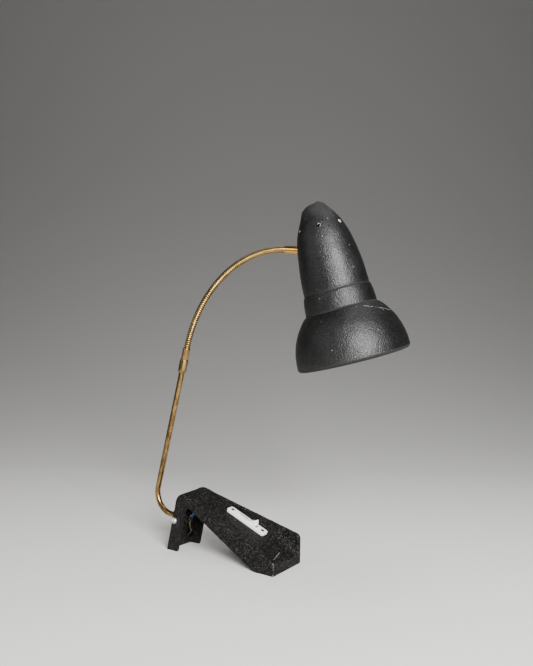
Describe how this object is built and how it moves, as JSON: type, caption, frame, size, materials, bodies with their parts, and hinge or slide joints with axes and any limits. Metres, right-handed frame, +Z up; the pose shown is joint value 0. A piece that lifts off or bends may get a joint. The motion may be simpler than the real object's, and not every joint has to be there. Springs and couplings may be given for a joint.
{
  "type": "desk lamp",
  "caption": "Desk lamp with an arched cast base, a bent brass stem, a bendable gooseneck and a bell-shaped shade with a rocker switch on the base.",
  "frame": {"origin": "centre of the sole of the front foot, on the table", "axes": "+X to the front of the base, +Y to the side with the fence, +Z up"},
  "size_m": [0.3744, 0.1408, 0.4598],
  "materials": {
    "casting": "black crackle enamel",
    "shade_paint": "black crackle enamel outside, pale enamel inside",
    "brass": "aged, brown patina",
    "holder_brass": "satin",
    "steel": "plated",
    "dark_steel": "blackened",
    "ivory": "moulded, slightly worn",
    "switch_body": "moulded",
    "bulb_glass": "clear",
    "bulb_metal": "plain",
    "blue_core": "flexible insulation",
    "brown_core": "flexible insulation",
    "earth_core": "flexible insulation, striped"
  },
  "bodies": {
    "base": {"base_casting": "casting", "stem_set_screw": "steel", "stem_tube": "brass", "lower_sleeve": "brass", "lower_collar": "brass", "neck_root": "brass", "switch_plate": "ivory", "switch_screws": "dark_steel", "switch_box": "switch_body", "rocker_pin": "steel", "contact_leaf": "steel", "switch_back": "switch_body", "switch_terminals": "holder_brass", "terminal_screws": "holder_brass", "connector_block": "switch_body", "connector_screws": "holder_brass", "block_screw": "steel", "earth_screw": "steel", "earth_tag": "holder_brass", "neutral_core": "blue_core", "switched_live_core": "brown_core", "live_feed_core": "brown_core", "earth_core": "earth_core"},
    "rocker": {"switch_rocker": "ivory"},
    "link_1": {"neck_link_1": "brass"},
    "link_2": {"neck_link_2": "brass"},
    "link_3": {"neck_link_3": "brass"},
    "link_4": {"neck_link_4": "brass"},
    "link_5": {"neck_link_5": "brass"},
    "link_6": {"neck_link_6": "brass"},
    "link_7": {"neck_link_7": "brass"},
    "head": {"neck_tip": "brass", "upper_ferrule": "brass", "shade_nipple": "holder_brass", "shade_washer": "steel", "shade_lock_nut": "holder_brass", "shade_cap": "shade_paint", "shade_bell": "shade_paint", "holder_bracket": "steel", "holder_nut": "holder_brass", "holder_cap": "holder_brass", "holder_insert": "switch_body", "holder_barrel": "holder_brass", "contact_plungers": "holder_brass", "plunger_springs": "steel", "bulb_cap": "bulb_metal", "bulb_contacts": "bulb_metal", "bulb_glass": "bulb_glass", "bulb_stem": "bulb_glass", "bulb_filament": "bulb_metal", "head_live_core": "brown_core", "head_neutral_core": "blue_core"}
  },
  "joints": [
    {"name": "lower_bend", "type": "hinge", "parent": "base", "child": "link_1", "pos_m": [-0.15584, 0, 0.29778], "axis": [0, 1, 0], "range_deg": [-20, 14]},
    {"name": "lower_swing", "type": "hinge", "parent": "link_1", "child": "link_2", "pos_m": [-0.14513, 0, 0.32409], "axis": [-0.8941, 0, 0.4478], "range_deg": [-18, 18]},
    {"name": "lower_bend_follow", "type": "hinge", "parent": "link_2", "child": "link_3", "pos_m": [-0.13048, 0, 0.34842], "axis": [0, 1, 0], "range_deg": [-20, 14]},
    {"name": "lower_swing_follow", "type": "hinge", "parent": "link_3", "child": "link_4", "pos_m": [-0.11198, 0, 0.36997], "axis": [-0.6977, 0, 0.7164], "range_deg": [-18, 18]},
    {"name": "upper_bend", "type": "hinge", "parent": "link_4", "child": "link_5", "pos_m": [-0.08995, 0, 0.38788], "axis": [0, 1, 0], "range_deg": [-20, 14]},
    {"name": "upper_swing", "type": "hinge", "parent": "link_5", "child": "link_6", "pos_m": [-0.06492, 0, 0.40131], "axis": [-0.3815, 0, 0.9244], "range_deg": [-18, 18]},
    {"name": "upper_bend_follow", "type": "hinge", "parent": "link_6", "child": "link_7", "pos_m": [-0.03771, 0, 0.40944], "axis": [0, 1, 0], "range_deg": [-20, 14]},
    {"name": "upper_swing_follow", "type": "hinge", "parent": "link_7", "child": "head", "pos_m": [-0.0094, 0, 0.41162], "axis": [0.0358, 0, 0.9994], "range_deg": [-18, 18]},
    {"name": "switch_rock", "type": "hinge", "parent": "base", "child": "rocker", "pos_m": [-0.05674, 0.011, 0.04853], "axis": [0, 1, 0], "range_deg": [0, 28]}
  ],
  "couplings": [
    {"joint": "lower_bend_follow", "follows": "lower_bend", "ratio": 1},
    {"joint": "lower_swing_follow", "follows": "lower_swing", "ratio": 1},
    {"joint": "upper_bend_follow", "follows": "upper_bend", "ratio": 1},
    {"joint": "upper_swing_follow", "follows": "upper_swing", "ratio": 1}
  ]
}
